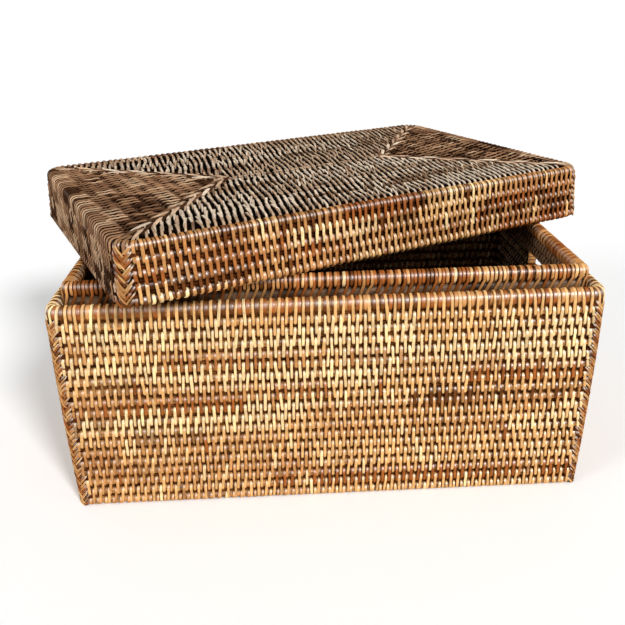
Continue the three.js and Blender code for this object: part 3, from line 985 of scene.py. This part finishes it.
def build_lid_skirt():
    sizes = {course: extent(f"lid_skirt_course_{course:02d}", "lid") for course in range(1, LID_COURSES + 1)}
    for course, (half_width, half_depth, height, radius) in sizes.items():
        plan = Plan(half_width, half_depth, LID_CORNER_RADIUS)
        mesh = CourseMesh(700 + course, plan, height, radius)
        below = sizes.get(course - 1)
        top_course = course == LID_COURSES
        core = (CORE, CORE if top_course else RISE, RISE)
        mesh.rod(core, LID_CORE, end_shade_level=LID_END_SHADE)
        if not top_course:
            # Painted shade: a dark filling in the crevice over this rod
            mesh.rod(CREVICE, CREVICE_SHADE, over=radius)
            mesh.shade_corners()
        distances = plan.row(LID_EDGE_COUNTS if top_course else LID_COUNTS, course, mesh.rng)
        if below:
            lower = tail(core, height - below[2], below[0] - half_width, -10)
        else:
            lower = arc(core, -25, -150, 6)
        upper = far_upper = HEAD + (CORE, 0.0)
        if top_course:
            upper = arc(core, 165, 4, 8)
            far_upper = np.concatenate([OVER_EDGE, arc(core, 80, 4, 5)])
            between = plan.row(LID_EDGE_COUNTS, course + 1, mesh.rng)
            between = between[plan.at(between)[2][:, 1] < -BEND_SPLIT]
            tint = mesh.noted(LID_RUNS, course, between, mesh.runs(len(between), LID_STRIPS, 1, 14))
            wrap = arc(core, 165, -40, 10)
            # Painted shade on the recessed wraps between
            mesh.lash(between, wrap, shaded(tint, EDGE_WRAP_SHADE), width=EDGE_WRAP, thickness=0.5)
        outward = plan.at(distances)[2]
        at_end = np.abs(outward[:, 0]) > BEND_SPLIT
        at_back = outward[:, 1] > BEND_SPLIT
        back_shares = BACK_EDGE if top_course else LID_STRIPS
        sides = (
            (~at_end & ~at_back, upper, LID_STRIPS, 14, LID_STRIP, STRIP_THICKNESS),
            (at_back, far_upper, back_shares, 14, LID_BACK_STRIP, STRIP_THICKNESS),
            (at_end, far_upper, LID_END_STRIPS, 5, LID_END_STRIP, 0.8),
        )
        for chosen, start, shares, longest, wide, thick in sides:
            places = distances[chosen]
            tint = mesh.noted(LID_RUNS, course, places, mesh.runs(len(places), shares, 1, longest))
            path = np.concatenate([start, lower])
            mesh.lash(places, path, tint, LID_LEAN, width=wide, thickness=thick)
        if not top_course:
            mesh.line_inside(distances, core)
        low = BRAID_LOW if below else LID_BRAID_LOW
        starts = EDGE_BRAID_STARTS if top_course else BRAID_STARTS
        mesh.braid(low=low, starts=starts, level=LID_BRAID_LEVEL)
        finish_piece(mesh, f"lid_skirt_course_{course:02d}", "lid", "lid_rattan")


build_walls()
build_border()
build_lip()
build_handles()
build_mat("floor", "box", "inner_rattan", INNER_FACE, (WALL_STRIPS, WALL_STRIPS), INNER_CORE)
build_lid_skirt()
build_mat("lid_top", "lid", "lid_top_rattan", (TOP_STRIPS, TOP_ENDS), INNER_FACE, TOP_SHADED_CORE)


FLOOR_REACH = 12.0  # metres
FLOOR_COLOUR = (0.94, 0.94, 0.94, 1)
WHITE = (1, 1, 1, 1)
FLOOR_GLOW = 0.16  # strength that only the camera and reflections see
WORLD_LIGHT = 0.4
# Name, energy, spread in degrees and the way towards each lamp
LAMPS = (("key", 2.35, 11, (0.42, -0.72, 0.56)), ("fill", 0.7, 20, (-0.8, -0.42, 0.42)))
CAMERA_PLACE = (-0.037865, -0.673974, 0.429449)
CAMERA_ANGLES = (-2.511, 24.53, -1.04)  # yaw, pitch and roll, in degrees
CAMERA_LENS = 41.101
CAMERA_SENSOR = 36.0


def whitened(tree, plain, white):
    """A strength that is white to the camera and in reflections, and plain to other rays."""
    rays = tree.nodes.new("ShaderNodeLightPath").outputs
    seen = rays["Is Camera Ray"]
    for ray in ("Is Glossy Ray", "Is Transmission Ray"):
        seen = added(tree, "ShaderNodeMath", {0: seen, 1: rays[ray]}, "MAXIMUM")
    return added(tree, "ShaderNodeMapRange", {"Value": seen, "To Min": plain, "To Max": white})


def add_floor():
    mesh = bpy.data.meshes.new("floor_sheet")
    corners = [(x * FLOOR_REACH, y * FLOOR_REACH, 0) for x, y in CORNERS]
    mesh.from_pydata(corners, [], [(0, 1, 2, 3)])
    sheet = in_scene("floor_sheet", mesh)
    material = bpy.data.materials.new("floor_sheet")
    material.use_nodes = True
    tree = material.node_tree
    feed(tree, tree.nodes["Principled BSDF"], {
        "Base Color": FLOOR_COLOUR,
        "Roughness": 1.0,
        "Specular IOR Level": 0.0,
        "Emission Color": WHITE,
        "Emission Strength": whitened(tree, 0.0, FLOOR_GLOW),
    })
    mesh.materials.append(material)


def add_light():
    """Even white surroundings, a broad lamp from the front right and a weaker one from the left."""
    world = bpy.data.worlds.new("studio")
    bpy.context.scene.world = world
    world.use_nodes = True
    tree = world.node_tree
    feed(tree, tree.nodes["Background"], {"Color": WHITE, "Strength": whitened(tree, WORLD_LIGHT, 1.0)})
    for name, energy, spread, towards in LAMPS:
        lamp = bpy.data.lights.new(name, "SUN")
        lamp.energy = energy
        lamp.angle = math.radians(spread)
        in_scene(name, lamp).rotation_euler = (-Vector(towards)).to_track_quat("-Z", "Y").to_euler()


def add_camera():
    """The photograph's viewpoint, from a fit to the outlines of the box and the lid."""
    data = bpy.data.cameras.new("camera")
    data.sensor_width = CAMERA_SENSOR
    data.lens = CAMERA_LENS
    camera = in_scene("camera", data)
    yaw, pitch, roll = (math.radians(angle) for angle in CAMERA_ANGLES)
    turn = Matrix.Rotation(yaw, 4, "Z") @ Matrix.Rotation(math.pi / 2 - pitch, 4, "X")
    turn = turn @ Matrix.Rotation(roll, 4, "Z")
    camera.matrix_world = Matrix.Translation(CAMERA_PLACE) @ turn
    bpy.context.scene.camera = camera


add_floor()
add_light()
add_camera()
bpy.context.scene.view_settings.view_transform = "Standard"
